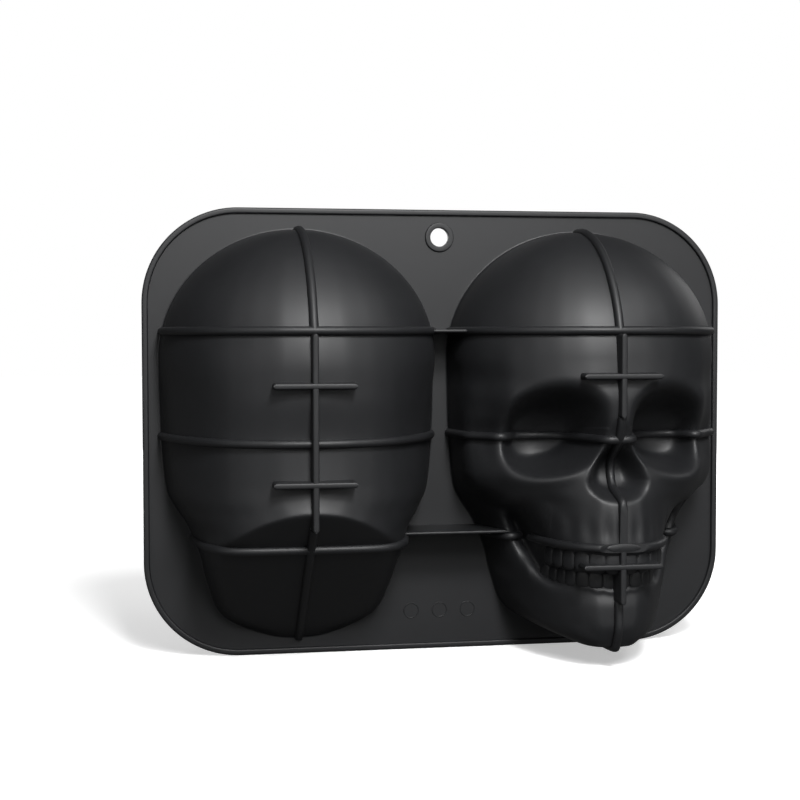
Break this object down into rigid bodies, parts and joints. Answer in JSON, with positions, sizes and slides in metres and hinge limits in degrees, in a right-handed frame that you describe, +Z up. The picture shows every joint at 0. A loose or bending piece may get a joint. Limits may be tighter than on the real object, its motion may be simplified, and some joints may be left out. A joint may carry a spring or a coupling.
{
  "type": "skull cake mould",
  "caption": "Flexible silicone baking mould with skull-shaped cavities for the face and the back of the head, foot strips and a hanging hole.",
  "frame": {"origin": "middle of the bottom long edge, halfway between the foot plane and the deck, on the floor", "axes": "+X along the long edge with the face cavity on the +X side, +Y towards the open side of the cavities, +Z up from chin to crown"},
  "size_m": [0.35, 0.095, 0.2622],
  "materials": {
    "silicone": "satin"
  },
  "bodies": {
    "root": {"skull_back_shell": "silicone", "skull_face_shell": "silicone", "deck_plate": "silicone", "rim_frame": "silicone", "hanging_eyelet": "silicone", "back_crown_bead": "silicone", "back_middle_bead": "silicone", "back_lower_bead": "silicone", "face_crown_bead": "silicone", "face_eye_bead": "silicone", "face_lip_bead": "silicone", "face_left_jaw_bead": "silicone", "face_right_jaw_bead": "silicone", "back_foot": "silicone", "face_forehead_foot": "silicone", "face_mouth_foot": "silicone", "back_top_bead": "silicone", "back_neck_bead": "silicone", "face_top_bead": "silicone", "face_nose_bead": "silicone", "face_brow_bead": "silicone", "back_nape_bead": "silicone", "face_chin_bead": "silicone", "upper_web": "silicone", "lower_web": "silicone"}
  },
  "joints": []
}
